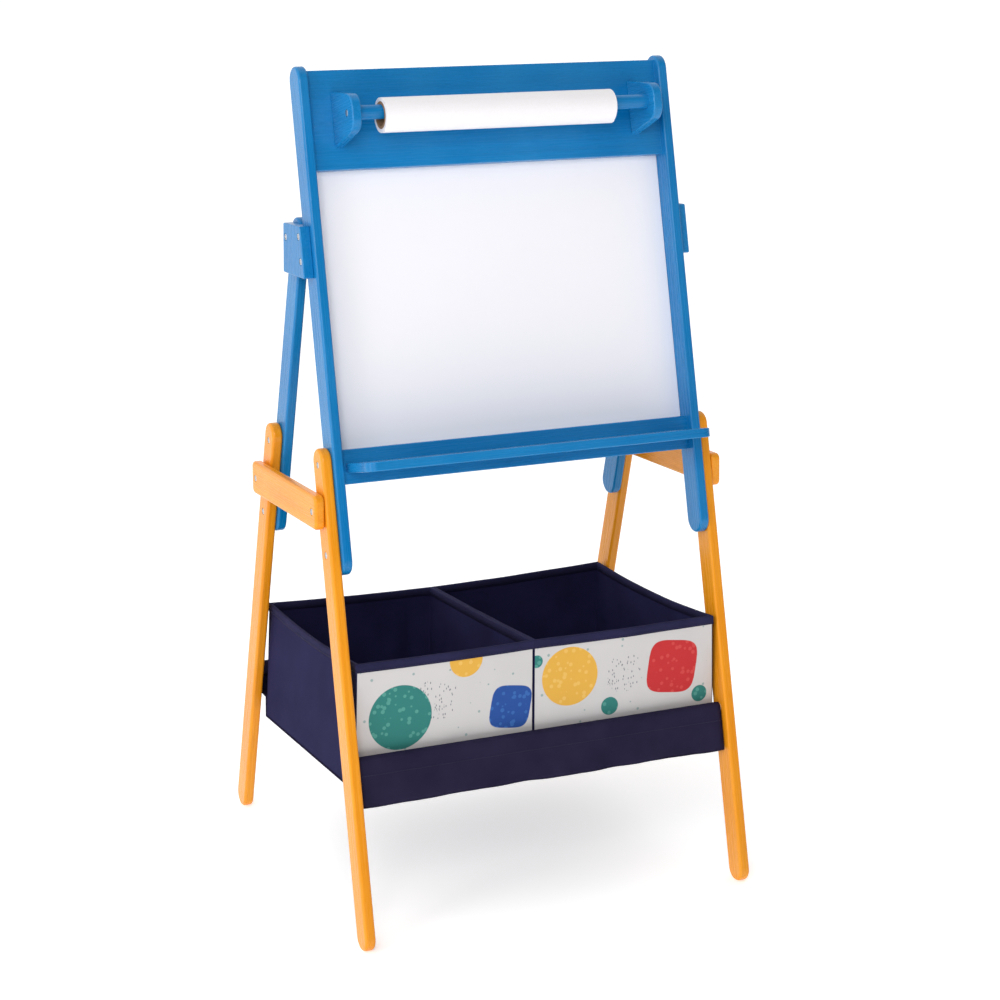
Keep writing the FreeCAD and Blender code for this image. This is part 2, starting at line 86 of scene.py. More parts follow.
# Studio
# A pale floor, a large soft light in front to the left, a weak fill, a tall strip on the left
# that picks out rounded edges, and a white surround that darkens in front to the right.
def node(tree, kind, inputs=None, **options):
    """Add a node, set its options, and feed its inputs from values or other nodes."""
    made = tree.nodes.new(kind)
    for name, value in options.items():
        setattr(made, name, value)
    for key, value in (inputs or {}).items():
        if isinstance(value, bpy.types.NodeSocket):
            tree.links.new(value, made.inputs[key])
        else:
            made.inputs[key].default_value = value
    return made


def shade(red, green, blue):
    """A display colour from 0 to 255 as the light values that a shader takes."""
    parts = [channel / 255 for channel in (red, green, blue)]
    parts = [p / 12.92 if p < 0.04045 else ((p + 0.055) / 1.055) ** 2.4 for p in parts]
    return (*parts, 1)


def new_finish(name):
    """A new material with its node tree and its shader."""
    material = bpy.data.materials.new(name)
    material.use_nodes = True
    return material, material.node_tree, material.node_tree.nodes["Principled BSDF"]


floor_mesh = bpy.data.meshes.new("floor")
floor_half = 12
corners = [(-floor_half, -floor_half, 0), (floor_half, -floor_half, 0)]
corners += [(floor_half, floor_half, 0), (-floor_half, floor_half, 0)]
floor_mesh.from_pydata(corners, [], [(0, 1, 2, 3)])
floor = in_scene("floor", floor_mesh)
floor_paint, _, floor_shader = new_finish("pale_floor")
floor_shader.inputs["Base Color"].default_value = (0.93, 0.93, 0.93, 1)
floor_shader.inputs["Roughness"].default_value = 0.9
floor_shader.inputs["Emission Color"].default_value = (1, 1, 1, 1)
floor_shader.inputs["Emission Strength"].default_value = 0.42
floor_mesh.materials.append(floor_paint)

bpy.context.scene.view_settings.view_transform = "Standard"
surround = bpy.data.worlds.new("white_surround")
surround.use_nodes = True
sky = surround.node_tree
towards = node(sky, "ShaderNodeTexCoord").outputs["Generated"]
dark_side = node(sky, "ShaderNodeVectorMath", {0: towards, 1: (0.5, -0.86, 0.1)}, operation="DOT_PRODUCT")
fading = {"Value": dark_side.outputs["Value"], "From Min": 0.1, "From Max": 0.75}
fading.update({"To Min": 1.05, "To Max": 0.12})
fading = node(sky, "ShaderNodeMapRange", fading, interpolation_type="SMOOTHSTEP")
sky.links.new(fading.outputs["Result"], sky.nodes["Background"].inputs["Strength"])
sky.nodes["Background"].inputs["Color"].default_value = (1, 1, 1, 1)
bpy.context.scene.world = surround


def soft_light(name, place, aim, size, power, height=None):
    """An area light turned to face a point, square unless it is given a height."""
    data = bpy.data.lights.new(name, "AREA")
    data.shape = "RECTANGLE"
    data.size = size
    data.size_y = height or size
    data.energy = power
    light = in_scene(name, data)
    light.location = place
    light.rotation_euler = (Vector(aim) - Vector(place)).to_track_quat("-Z", "Y").to_euler()


soft_light("key_light", (-1.2, -2.1, 1.85), (0, 0, 0.8), 1.1, 24)
soft_light("fill_light", (2.4, -3.0, 2.0), (0, 0, 0.6), 2.4, 6)
soft_light("edge_light", (-2.3, -1.0, 1.1), (0, 0, 0.8), 0.3, 7, 1.8)


# Painted timber
# Pine planed, rounded over and sprayed. The grain telegraphs faintly through the lacquer. Along
# the edges the paint is lighter: a painted highlight, broken up by a noise.
front_lean = math.radians(14.8)
rear_lean = math.radians(-14.033)
up_front = Vector((0, math.sin(front_lean), math.cos(front_lean)))
up_rear = Vector((0, math.sin(rear_lean), math.cos(rear_lean)))
across = Vector((1, 0, 0))


def noise_of(tree, place, scale, detail=3, roughness=0.5):
    settings = {"Vector": place, "Scale": scale, "Detail": detail, "Roughness": roughness}
    return node(tree, "ShaderNodeTexNoise", settings).outputs["Fac"]


def spread(tree, value, low, high, to_low, to_high):
    """Stretch a value from one range to another, held inside it."""
    places = {"Value": value, "From Min": low, "From Max": high, "To Min": to_low, "To Max": to_high}
    return node(tree, "ShaderNodeMapRange", places).outputs["Result"]


def blend_colours(tree, share, first, second):
    mixed = node(tree, "ShaderNodeMix", {0: share, 6: first, 7: second}, data_type="RGBA")
    return mixed.outputs[2]


def bump_of(tree, height, distance, strength=1.0, under=None):
    settings = {"Height": height, "Distance": distance, "Strength": strength}
    if under is not None:
        settings["Normal"] = under
    return node(tree, "ShaderNodeBump", settings).outputs["Normal"]


def feed(tree, shader, colour, roughness, normal):
    for socket, value in (("Base Color", colour), ("Roughness", roughness), ("Normal", normal)):
        tree.links.new(value, shader.inputs[socket])


def painted_edge_highlight(tree, radius, breaks):
    """How near a surface is to a sharp edge, broken up by a noise: the mask of the painted edge highlight.
    """
    softened = node(tree, "ShaderNodeBevel", {"Radius": radius}, samples=4).outputs["Normal"]
    true_normal = node(tree, "ShaderNodeNewGeometry").outputs["Normal"]
    facing = node(tree, "ShaderNodeVectorMath", {0: softened, 1: true_normal}, operation="DOT_PRODUCT")
    near = spread(tree, facing.outputs["Value"], 0.995, 0.9, 0, 1)
    return node(tree, "ShaderNodeMath", {0: near, 1: breaks}, operation="MULTIPLY").outputs[0]


def along_grain(tree, grain):
    """Object coordinates turned so that X runs along the timber."""
    place = node(tree, "ShaderNodeTexCoord").outputs["Object"]
    turn = grain.rotation_difference(across).to_euler()
    return node(tree, "ShaderNodeMapping", {"Vector": place, "Rotation": turn}).outputs[0]


def painted_timber(name, body, deep, pale, grain):
    material, tree, shader = new_finish(name)
    place = along_grain(tree, grain)
    stretched = node(tree, "ShaderNodeVectorMath", {0: place, 1: (5, 150, 150)}, operation="MULTIPLY")
    fine = node(tree, "ShaderNodeVectorMath", {0: place, 1: (16, 520, 520)}, operation="MULTIPLY")
    streaks = noise_of(tree, stretched.outputs[0], 1, 5, 0.6)
    pores = noise_of(tree, fine.outputs[0], 1, 3, 0.6)
    clouds = noise_of(tree, place, 9, 2)
    peel = noise_of(tree, place, 700, 1)
    colour = blend_colours(tree, spread(tree, streaks, 0.3, 0.72, 0, 1), deep, body)
    colour = blend_colours(tree, spread(tree, clouds, 0.35, 0.8, 0, 0.22), colour, pale)
    # Painted highlight: the edges are painted towards the pale colour, standing in for light caught on the
    # rounded edges.
    edge_highlight = painted_edge_highlight(tree, 0.0016, spread(tree, clouds, 0.35, 0.6, 0.35, 0.8))
    colour = blend_colours(tree, edge_highlight, colour, pale)
    normal = bump_of(tree, streaks, 0.0003, 0.5)
    normal = bump_of(tree, pores, 0.0001, 0.5, normal)
    normal = bump_of(tree, peel, 0.00006, 0.35, normal)
    feed(tree, shader, colour, spread(tree, pores, 0.3, 0.7, 0.2, 0.34), normal)
    shader.inputs["Specular IOR Level"].default_value = 0.32
    return material


def finish_nodes(material, *names):
    """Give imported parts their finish."""
    for name in names:
        for material_slot in nodes[name].material_slots:
            material_slot.material = material


# The third colour of each is the pale tone, used for random clouds and for the painted edge highlight.
blue = (shade(3, 120, 184), shade(2, 111, 172), shade(70, 160, 212))
yellow = (shade(238, 152, 26), shade(228, 139, 18), shade(248, 186, 70))
finish_nodes(painted_timber("blue_stile", *blue, up_front), "stile_left", "stile_right")
finish_nodes(painted_timber("blue_rear_leg", *blue, up_rear), "rear_leg_left", "rear_leg_right")
boards = ("header_board", "bottom_rail", "tray", "roll_dowel")
finish_nodes(painted_timber("blue_board", *blue, across), *boards)
bracket_grain = Vector((0, math.cos(front_lean), -math.sin(front_lean)))
blue_bracket = painted_timber("blue_bracket", *blue, bracket_grain)
finish_nodes(blue_bracket, "roll_bracket_left", "roll_bracket_right")
blue_block = painted_timber("blue_block", *blue, Vector((0, 0, 1)))
finish_nodes(blue_block, "hinge_block_left", "hinge_block_right")
front_yellow = painted_timber("yellow_front_leg", *yellow, up_front)
finish_nodes(front_yellow, "lower_leg_front_left", "lower_leg_front_right")
rear_yellow = painted_timber("yellow_rear_leg", *yellow, up_rear)
finish_nodes(rear_yellow, "lower_leg_rear_left", "lower_leg_rear_right")
yellow_bar = painted_timber("yellow_crossbar", *yellow, Vector((0, 1, -0.063)).normalized())
finish_nodes(yellow_bar, "crossbar_left", "crossbar_right")


# Bare beech
# The sling's two bars and the frame's pins are plain sanded dowel.
def bare_beech():
    material, tree, shader = new_finish("bare_beech")
    place = along_grain(tree, across)
    stretched = node(tree, "ShaderNodeVectorMath", {0: place, 1: (14, 420, 420)}, operation="MULTIPLY")
    rays = noise_of(tree, stretched.outputs[0], 1, 4, 0.6)
    colour = blend_colours(tree, rays, shade(196, 158, 112), shade(226, 194, 150))
    roughness = spread(tree, rays, 0.3, 0.7, 0.5, 0.68)
    feed(tree, shader, colour, roughness, bump_of(tree, rays, 0.0002, 0.6))
    return material


finish_nodes(bare_beech(), "sling_bar_front", "sling_bar_rear", "frame_pins")


# Drawing panels
# The whiteboard is thin hardboard with a gloss wipe-clean face. The chalkboard on the back is
# matt, with dust left by wiping.
def whiteboard_face():
    material, tree, shader = new_finish("whiteboard_face")
    place = along_grain(tree, across)
    clouds = noise_of(tree, place, 5, 2)
    wiped = node(tree, "ShaderNodeVectorMath", {0: place, 1: (6, 40, 40)}, operation="MULTIPLY")
    strokes = noise_of(tree, wiped.outputs[0], 1, 4, 0.6)
    colour = blend_colours(tree, clouds, shade(250, 248, 252), shade(246, 245, 250))
    ripple = bump_of(tree, noise_of(tree, place, 260, 1), 0.00005, 0.3)
    feed(tree, shader, colour, spread(tree, strokes, 0.3, 0.7, 0.3, 0.33), ripple)
    return material


def chalkboard_face():
    material, tree, shader = new_finish("chalkboard_face")
    place = along_grain(tree, across)
    wiped = node(tree, "ShaderNodeVectorMath", {0: place, 1: (5, 22, 22)}, operation="MULTIPLY")
    dust = spread(tree, noise_of(tree, wiped.outputs[0], 1, 6, 0.65), 0.45, 0.8, 0, 0.3)
    colour = blend_colours(tree, dust, shade(42, 47, 46), shade(150, 154, 152))
    tooth = bump_of(tree, noise_of(tree, place, 900, 2), 0.00008, 0.5)
    feed(tree, shader, colour, spread(tree, dust, 0, 0.3, 0.72, 0.92), tooth)
    return material


finish_nodes(whiteboard_face(), "whiteboard")
finish_nodes(chalkboard_face(), "chalkboard")


# Metal
# Zinc-plated steel for screws, bolts and cap nuts, and brass for the crossbars' inserts. Fine
# turning marks and dull patches keep them from looking polished.
def turned_metal(name, bright, dull):
    material, tree, shader = new_finish(name)
    place = node(tree, "ShaderNodeTexCoord").outputs["Object"]
    patches = noise_of(tree, place, 260, 3)
    marks = noise_of(tree, place, 2200, 1)
    colour = blend_colours(tree, patches, dull, bright)
    roughness = spread(tree, patches, 0.3, 0.7, 0.26, 0.46)
    feed(tree, shader, colour, roughness, bump_of(tree, marks, 0.00005, 0.5))
    shader.inputs["Metallic"].default_value = 1
    return material


zinc = turned_metal("zinc_plate", shade(232, 233, 236), shade(196, 198, 203))
finish_nodes(zinc, "pivot_nuts")
finish_nodes(turned_metal("brass", shade(214, 182, 112), shade(172, 140, 78)), "crossbar_inserts")


# Fasteners
# Socket-head bolts lie flush in the legs, blocks and crossbars, and cross-head wood screws stand
# proud at the back. Each head sits on its shank, turned at random as a screwdriver leaves it.
def loose_solids(name):
    """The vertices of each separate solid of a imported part."""
    work = bmesh.new()
    work.from_mesh(nodes[name].data)
    bmesh.ops.remove_doubles(work, verts=work.verts, dist=1e-6)
    left = set(work.verts)
    groups = []
    while left:
        pending = [left.pop()]
        group = []
        while pending:
            vertex = pending.pop()
            group.append(vertex.co.copy())
            for edge in vertex.link_edges:
                other = edge.other_vert(vertex)
                if other in left:
                    left.remove(other)
                    pending.append(other)
        groups.append(group)
    work.free()
    return groups


def piece_from(work, name, *materials):
    """Turn a finished bmesh into a piece with its materials."""
    mesh = bpy.data.meshes.new(name)
    work.to_mesh(mesh)
    work.free()
    for material in materials:
        mesh.materials.append(material)
    return in_scene(name, mesh)


def head_shape(name, radius, height, crown, recess, depth):
    """A screw head whose top is at its origin, with a recess of a given outline."""
    work = bmesh.new()
    around = 24
    angles = [2 * math.pi * step / around for step in range(around)]

    def ring(size, z):
        return [work.verts.new((size * math.cos(a), size * math.sin(a), z)) for a in angles]

    rings = [ring(radius, -height), ring(radius, -crown), ring(radius - crown * 0.3, -crown * 0.3)]
    rings.append(ring(radius - crown, 0))
    for lower, upper in zip(rings, rings[1:]):
        for step in range(around):
            following = (step + 1) % around
            work.faces.new((lower[step], lower[following], upper[following], upper[step]))
    work.faces.new(list(reversed(rings[0])))
    mouth = [work.verts.new((x, y, 0)) for x, y in recess]
    deep = [work.verts.new((x * 0.85, y * 0.85, -depth)) for x, y in recess]
    sides = len(recess)
    edges = [work.edges.new((mouth[i], mouth[(i + 1) % sides])) for i in range(sides)]
    edges += [work.edges.get((rings[-1][i], rings[-1][(i + 1) % around])) for i in range(around)]
    bmesh.ops.triangle_fill(work, use_beauty=True, edges=edges)
    for i in range(sides):
        following = (i + 1) % sides
        work.faces.new((mouth[i], mouth[following], deep[following], deep[i]))
    work.faces.new(deep)
    bmesh.ops.recalc_face_normals(work, faces=work.faces)
    return piece_from(work, name)


key_r = 0.0022
hexagon = [(key_r * math.cos(math.pi * i / 3), key_r * math.sin(math.pi * i / 3)) for i in range(6)]
arm = 0.0023
slim = 0.0006
cross = [(slim, slim), (slim, arm), (-slim, arm), (-slim, slim), (-arm, slim), (-arm, -slim)]
cross += [(-slim, -slim), (-slim, -arm), (slim, -arm), (slim, -slim), (arm, -slim), (arm, slim)]
bolt_head = head_shape("bolt_head", radius=0.0045, height=0.003, crown=0.0009, recess=hexagon, depth=0.002)
screw_head = head_shape("screw_head", radius=0.004, height=0.002, crown=0.0012, recess=cross, depth=0.0013)
bolt_shank = 0.0029
screw_shank = 0.0019


def fastener_tree():
    """Put a head and a shank on each point, facing the point's own way."""
    tree = bpy.data.node_groups.new("fasteners", "GeometryNodeTree")
    face = tree.interface
    face.new_socket("Points", in_out="INPUT", socket_type="NodeSocketGeometry")
    face.new_socket("Head", in_out="INPUT", socket_type="NodeSocketObject")
    face.new_socket("Shank Radius", in_out="INPUT", socket_type="NodeSocketFloat")
    face.new_socket("Seed", in_out="INPUT", socket_type="NodeSocketInt")
    face.new_socket("Finish", in_out="INPUT", socket_type="NodeSocketMaterial")
    face.new_socket("Fasteners", in_out="OUTPUT", socket_type="NodeSocketGeometry")
    given = tree.nodes.new("NodeGroupInput").outputs
    facing = node(tree, "GeometryNodeInputNamedAttribute", {"Name": "facing"}, data_type="FLOAT_VECTOR")
    reach = node(tree, "GeometryNodeInputNamedAttribute", {"Name": "reach"}, data_type="FLOAT")
    turned = node(tree, "FunctionNodeAlignRotationToVector", {"Vector": facing.outputs[0]}, axis="Z")
    head = node(tree, "GeometryNodeObjectInfo", {"Object": given["Head"]})
    at_points = {"Points": given["Points"], "Rotation": turned.outputs[0]}
    heads = node(tree, "GeometryNodeInstanceOnPoints", {**at_points, "Instance": head.outputs["Geometry"]})
    limits = {2: 0.0, 3: math.tau, "Seed": given["Seed"]}
    by_chance = node(tree, "FunctionNodeRandomValue", limits, data_type="FLOAT")
    spin = node(tree, "ShaderNodeCombineXYZ", {"Z": by_chance.outputs[1]})
    spun = {"Instances": heads.outputs[0], "Rotation": spin.outputs[0], "Local Space": True}
    heads = node(tree, "GeometryNodeRotateInstances", spun)
    rod = {"Vertices": 16, "Radius": given["Shank Radius"], "Depth": 1.0}
    shank = node(tree, "GeometryNodeMeshCylinder", rod)
    lowered = {"Geometry": shank.outputs["Mesh"], "Translation": (0, 0, -0.5)}
    lowered = node(tree, "GeometryNodeTransform", lowered)
    long = node(tree, "ShaderNodeCombineXYZ", {"X": 1.0, "Y": 1.0, "Z": reach.outputs[0]})
    shanks = {**at_points, "Instance": lowered.outputs[0], "Scale": long.outputs[0]}
    shanks = node(tree, "GeometryNodeInstanceOnPoints", shanks)
    joined = tree.nodes.new("GeometryNodeJoinGeometry")
    tree.links.new(heads.outputs[0], joined.inputs[0])
    tree.links.new(shanks.outputs[0], joined.inputs[0])
    solid = node(tree, "GeometryNodeRealizeInstances", {"Geometry": joined.outputs[0]})
    coated = {"Geometry": solid.outputs[0], "Material": given["Finish"]}
    coated = node(tree, "GeometryNodeSetMaterial", coated)
    node(tree, "NodeGroupOutput", {"Fasteners": coated.outputs[0]})
    return tree


fasteners = fastener_tree()


def run_tree(piece, tree, values):
    """Run a geometry tree on a piece and keep the result as its plain mesh."""
    modifier = piece.modifiers.new("made", "NODES")
    modifier.node_group = tree
    for socket in tree.interface.items_tree:
        if socket.in_out == "INPUT" and socket.name in values:
            modifier[socket.identifier] = values[socket.name]
    bpy.context.view_layer.update()
    graph = bpy.context.evaluated_depsgraph_get()
    mesh = bpy.data.meshes.new_from_object(piece.evaluated_get(graph), depsgraph=graph)
    piece.modifiers.clear()
    piece.data = mesh
    return piece


def drive_fasteners(name, body, parts, head, shank_radius, seed, facing=None):
    """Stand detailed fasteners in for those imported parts, all on one body."""
    places, ways, reaches = [], [], []
    for part in parts:
        for solid in loose_solids(part):
            middle = sum(solid, Vector()) / len(solid)
            way = facing or Vector((math.copysign(1, middle.x), 0, 0))
            heights = [(point - middle).dot(way) for point in solid]
            low = Vector(min(point[i] for point in solid) for i in range(3))
            high = Vector(max(point[i] for point in solid) for i in range(3))
            centre = middle if facing else (low + high) / 2
            top = middle + way * max(heights)
            places.append(centre + way * (top - centre).dot(way))
            ways.append(way)
            reaches.append(max(heights) - min(heights))
    mesh = bpy.data.meshes.new(name)
    mesh.from_pydata(places, [], [])
    mesh.attributes.new("facing", "FLOAT_VECTOR", "POINT").data.foreach_set(
        "vector", [value for way in ways for value in way])
    mesh.attributes.new("reach", "FLOAT", "POINT").data.foreach_set("value", reaches)
    piece = in_scene(name, mesh)
    values = {"Head": head, "Shank Radius": shank_radius, "Seed": seed, "Finish": zinc}
    run_tree(piece, fasteners, values)
    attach(piece, body)
    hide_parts(*parts)


frame_bolts = ["pivot_bolts", "hinge_screws", "front_leg_bolts", "dowel_screws"]
drive_fasteners("frame_bolts", "front_frame", frame_bolts, bolt_head, bolt_shank, 1)
rear_bolts = ["rear_leg_bolts", "crossbar_pivots"]
drive_fasteners("rear_bolts", "rear_frame", rear_bolts, bolt_head, bolt_shank, 2)
drive_fasteners("left_bar_bolt", "crossbar_left", ["crossbar_bolt_left"], bolt_head, bolt_shank, 3)
drive_fasteners("right_bar_bolt", "crossbar_right", ["crossbar_bolt_right"], bolt_head, bolt_shank, 4)
back_screws = ["panel_screws", "tray_screws", "bracket_screws"]
drive_fasteners("back_screws", "front_frame", back_screws, screw_head, screw_shank, 5, bracket_grain)
bpy.data.objects.remove(bolt_head)
bpy.data.objects.remove(screw_head)


# Paper roll
# Drawing paper wound on a brown card core. The wraps step in and out a little at the ends, and
# the last one lifts where the sheet ends.
paper_low, paper_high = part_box("paper_roll")
paper_axis = (paper_low + paper_high) / 2
core_low, core_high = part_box("roll_core")
core_r = (core_high.z - core_low.z) / 2
paper_outer = (paper_high.z - paper_low.z) / 2
paper_steps = 9
around = 72
free_edge_at = 2.2
free_edge_lift = 0.0009
lifted_steps = 9
wrap_waves = 14000.0


def paper_material():
    material, tree, shader = new_finish("drawing_paper")
    place = node(tree, "ShaderNodeTexCoord").outputs["Object"]
    offset = node(tree, "ShaderNodeVectorMath", {0: place, 1: paper_axis}, operation="SUBTRACT")
    flat = node(tree, "ShaderNodeVectorMath", {0: offset.outputs[0], 1: (0, 1, 1)}, operation="MULTIPLY")
    radius = node(tree, "ShaderNodeVectorMath", {0: flat.outputs[0]}, operation="LENGTH").outputs["Value"]
    layers = node(tree, "ShaderNodeMath", {0: radius, 1: wrap_waves}, operation="MULTIPLY").outputs[0]
    wraps = node(tree, "ShaderNodeMath", {0: layers}, operation="SINE").outputs[0]
    fibres = noise_of(tree, place, 420, 3)
    colour = blend_colours(tree, fibres, shade(244, 242, 244), shade(236, 233, 235))
    normal = bump_of(tree, wraps, 0.00008, 0.6)
    normal = bump_of(tree, fibres, 0.00006, 0.4, normal)
    feed(tree, shader, colour, spread(tree, fibres, 0.3, 0.7, 0.72, 0.86), normal)
    return material


def card_material():
    material, tree, shader = new_finish("core_card")
    place = node(tree, "ShaderNodeTexCoord").outputs["Object"]
    fibres = noise_of(tree, place, 340, 4, 0.6)
    colour = blend_colours(tree, fibres, shade(122, 92, 66), shade(160, 128, 96))
    roughness = spread(tree, fibres, 0.3, 0.7, 0.78, 0.92)
    feed(tree, shader, colour, roughness, bump_of(tree, fibres, 0.00015, 0.6))
    return material


def wound_paper():
    """A spiral of paper: outer wall, stepped end faces and inner wall, closed at the free edge."""
    work = bmesh.new()
    inner_r = core_r + 0.0002
    length_steps = 24
    rings = []
    for step in range(length_steps + 1):
        x = paper_low.x + (paper_high.x - paper_low.x) * step / length_steps
        ring = []
        for turn in range(around):
            angle = 2 * math.pi * turn / around
            near_end = max(0.0, 1 - turn / lifted_steps)
            ripple = 0.00012 * noise.noise(Vector((x * 14, angle * 1.3, 4)))
            r = paper_outer - free_edge_lift * (1 - near_end ** 1.5) + ripple
            y = paper_axis.y + r * math.cos(angle - free_edge_at)
            z = paper_axis.z + r * math.sin(angle - free_edge_at)
            ring.append(work.verts.new((x, y, z)))
        rings.append(ring)
    left_rings = [rings[0]]
    right_rings = [rings[-1]]
    for end, kept in ((paper_low.x, left_rings), (paper_high.x, right_rings)):
        inward = 1 if end == paper_low.x else -1
        for layer in range(1, paper_steps + 1):
            share = layer / paper_steps
            r = (paper_outer - free_edge_lift) * (1 - share) + inner_r * share
            depth = 0.0006 * abs(noise.noise(Vector((layer * 1.7, end * 9, 2))))
            ring = []
            for turn in range(around):
                angle = 2 * math.pi * turn / around - free_edge_at
                y = paper_axis.y + r * math.cos(angle)
                z = paper_axis.z + r * math.sin(angle)
                ring.append(work.verts.new((end + inward * depth, y, z)))
            kept.append(ring)
    chain = list(reversed(left_rings)) + rings[1:-1] + right_rings
    for first, second in zip(chain, chain[1:] + chain[:1]):
        for turn in range(around):
            following = (turn + 1) % around
            work.faces.new((first[turn], first[following], second[following], second[turn]))
    bmesh.ops.recalc_face_normals(work, faces=work.faces)
    return piece_from(work, "wound_paper", paper_material())


wound = wound_paper()
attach(wound, "paper_roll")
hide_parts("paper_roll")
finish_nodes(card_material(), "roll_core")


# Navy cloth
# Non-woven polyester on the bins and a closer weave on the sling. The pattern follows the
# cloth's own map, so that it stays put when the cloth folds.
def wave_along(tree, value, pitch_m):
    turns = node(tree, "ShaderNodeMath", {0: value, 1: math.tau / pitch_m}, operation="MULTIPLY")
    return node(tree, "ShaderNodeMath", {0: turns.outputs[0]}, operation="SINE").outputs[0]


def cloth_material(name, deep, pale, thread_m):
    material, tree, shader = new_finish(name)
    cloth_map = node(tree, "ShaderNodeUVMap", uv_map="cloth").outputs[0]
    split = node(tree, "ShaderNodeSeparateXYZ", {0: cloth_map})
    warp = wave_along(tree, split.outputs["X"], thread_m)
    weft = wave_along(tree, split.outputs["Y"], thread_m)
    weave = node(tree, "ShaderNodeMath", {0: warp, 1: weft}, operation="MULTIPLY").outputs[0]
    clouds = noise_of(tree, cloth_map, 14, 3)
    fuzz = noise_of(tree, cloth_map, 900, 2)
    creases = noise_of(tree, cloth_map, 30, 4, 0.6)
    colour = blend_colours(tree, spread(tree, clouds, 0.3, 0.7, 0, 1), deep, pale)
    colour = blend_colours(tree, spread(tree, weave, -1, 1, 0, 0.35), colour, deep)
    normal = bump_of(tree, creases, 0.0012, 0.35)
    normal = bump_of(tree, weave, 0.00012, 0.6, normal)
    normal = bump_of(tree, fuzz, 0.00008, 0.4, normal)
    feed(tree, shader, colour, spread(tree, fuzz, 0.3, 0.7, 0.78, 0.94), normal)
    shader.inputs["Specular IOR Level"].default_value = 0.06
    return material


bin_navy = cloth_material("bin_navy", shade(34, 33, 66), shade(42, 41, 78), 0.0011)
binding_navy = cloth_material("binding_navy", shade(38, 37, 66), shade(48, 47, 80), 0.0008)
sling_navy = cloth_material("sling_navy", shade(35, 31, 55), shade(44, 40, 66), 0.0009)


# Printed cloth
# The bins' fronts are off-white with a plain pattern of discs, rounded squares, dots and dashes.
def shape_mask(tree, x, y, shape):
    """1 inside one printed shape, in metres on the panel's own map."""
    kind, centre_x, centre_y, size, turn = shape
    dx = node(tree, "ShaderNodeMath", {0: x, 1: centre_x}, operation="SUBTRACT").outputs[0]
    dy = node(tree, "ShaderNodeMath", {0: y, 1: centre_y}, operation="SUBTRACT").outputs[0]
    offset = node(tree, "ShaderNodeCombineXYZ", {"X": dx, "Y": dy}).outputs[0]
    turned = node(tree, "ShaderNodeVectorRotate", {"Vector": offset, "Angle": turn}).outputs[0]
    if kind == "disc":
        distance = node(tree, "ShaderNodeVectorMath", {0: turned}, operation="LENGTH").outputs["Value"]
    else:
        parts = node(tree, "ShaderNodeVectorMath", {0: turned}, operation="ABSOLUTE").outputs[0]
        raised = node(tree, "ShaderNodeVectorMath", {0: parts, 1: parts}, operation="MULTIPLY").outputs[0]
        raised = node(tree, "ShaderNodeVectorMath", {0: raised, 1: raised}, operation="MULTIPLY").outputs[0]
        total = node(tree, "ShaderNodeVectorMath", {0: raised, 1: (1, 1, 0)}, operation="DOT_PRODUCT")
        distance = node(tree, "ShaderNodeMath", {0: total.outputs["Value"], 1: 0.25}, operation="POWER")
        distance = distance.outputs[0]
    return spread(tree, distance, size + 0.0003, size - 0.0003, 0, 1)


def printed_cloth(name, shapes, dashes_x):
    material, tree, shader = new_finish(name)
    cloth_map = node(tree, "ShaderNodeUVMap", uv_map="cloth").outputs[0]
    split = node(tree, "ShaderNodeSeparateXYZ", {0: cloth_map})
    x, y = split.outputs["X"], split.outputs["Y"]
    weave = wave_along(tree, x, 0.0011)
    clouds = noise_of(tree, cloth_map, 10, 2)
    fuzz = noise_of(tree, cloth_map, 800, 2)
    colour = blend_colours(tree, clouds, shade(210, 207, 206), shade(201, 198, 198))
    scatter = node(tree, "ShaderNodeTexVoronoi", {"Vector": cloth_map, "Scale": 62.0})
    dots = spread(tree, scatter.outputs["Distance"], 0.14, 0.11, 0, 0.8)
    colour = blend_colours(tree, dots, colour, shade(132, 160, 158))
    dash_map = node(tree, "ShaderNodeVectorMath", {0: cloth_map, 1: (300, 140, 1)}, operation="MULTIPLY")
    dashes = node(tree, "ShaderNodeTexVoronoi", {"Vector": dash_map.outputs[0], "Scale": 1.0})
    marks = spread(tree, dashes.outputs["Distance"], 0.26, 0.2, 0, 0.85)
    patch = shape_mask(tree, x, y, ("square", dashes_x, bin_height - 0.062, 0.027, 0.1))
    marks = node(tree, "ShaderNodeMath", {0: marks, 1: patch}, operation="MULTIPLY").outputs[0]
    colour = blend_colours(tree, marks, colour, shade(98, 100, 110))
    spots = node(tree, "ShaderNodeTexVoronoi", {"Vector": cloth_map, "Scale": 110.0}).outputs["Distance"]
    inner_spots = spread(tree, spots, 0.34, 0.3, 0, 0.55)
    for shape, body, spotted in shapes:
        mask = shape_mask(tree, x, y, shape)
        tone = blend_colours(tree, inner_spots, body, spotted)
        colour = blend_colours(tree, mask, colour, tone)
    normal = bump_of(tree, weave, 0.0001, 0.5)
    normal = bump_of(tree, fuzz, 0.00007, 0.4, normal)
    feed(tree, shader, colour, spread(tree, fuzz, 0.3, 0.7, 0.7, 0.85), normal)
    return material


bin_height = 0.173
teal = (shade(40, 122, 116), shade(96, 170, 156))
amber = (shade(226, 172, 66), shade(236, 196, 108))
royal = (shade(24, 74, 152), shade(58, 116, 190))
coral = (shade(196, 38, 42), shade(214, 80, 76))


def from_rim(kind, x, down, size, turn=0):
    """A printed shape placed from the panel's left edge and down from its rim."""
    return kind, x, bin_height - down, size, turn


left_print = [(from_rim("disc", 0.063, 0.08, 0.045), *teal)]
left_print.append((from_rim("disc", 0.157, 0.012, 0.024), *amber))
left_print.append((from_rim("square", 0.224, 0.088, 0.03, 0.15), *royal))
right_print = [(from_rim("disc", 0.054, 0.057, 0.042), *amber)]
right_print.append((from_rim("square", 0.212, 0.064, 0.038, 0.14), *coral))
right_print += [(from_rim("disc", x, down, size), *teal) for x, down, size in (
    (0.115, 0.108, 0.013), (0.256, 0.11, 0.012), (0.004, 0.03, 0.009))]


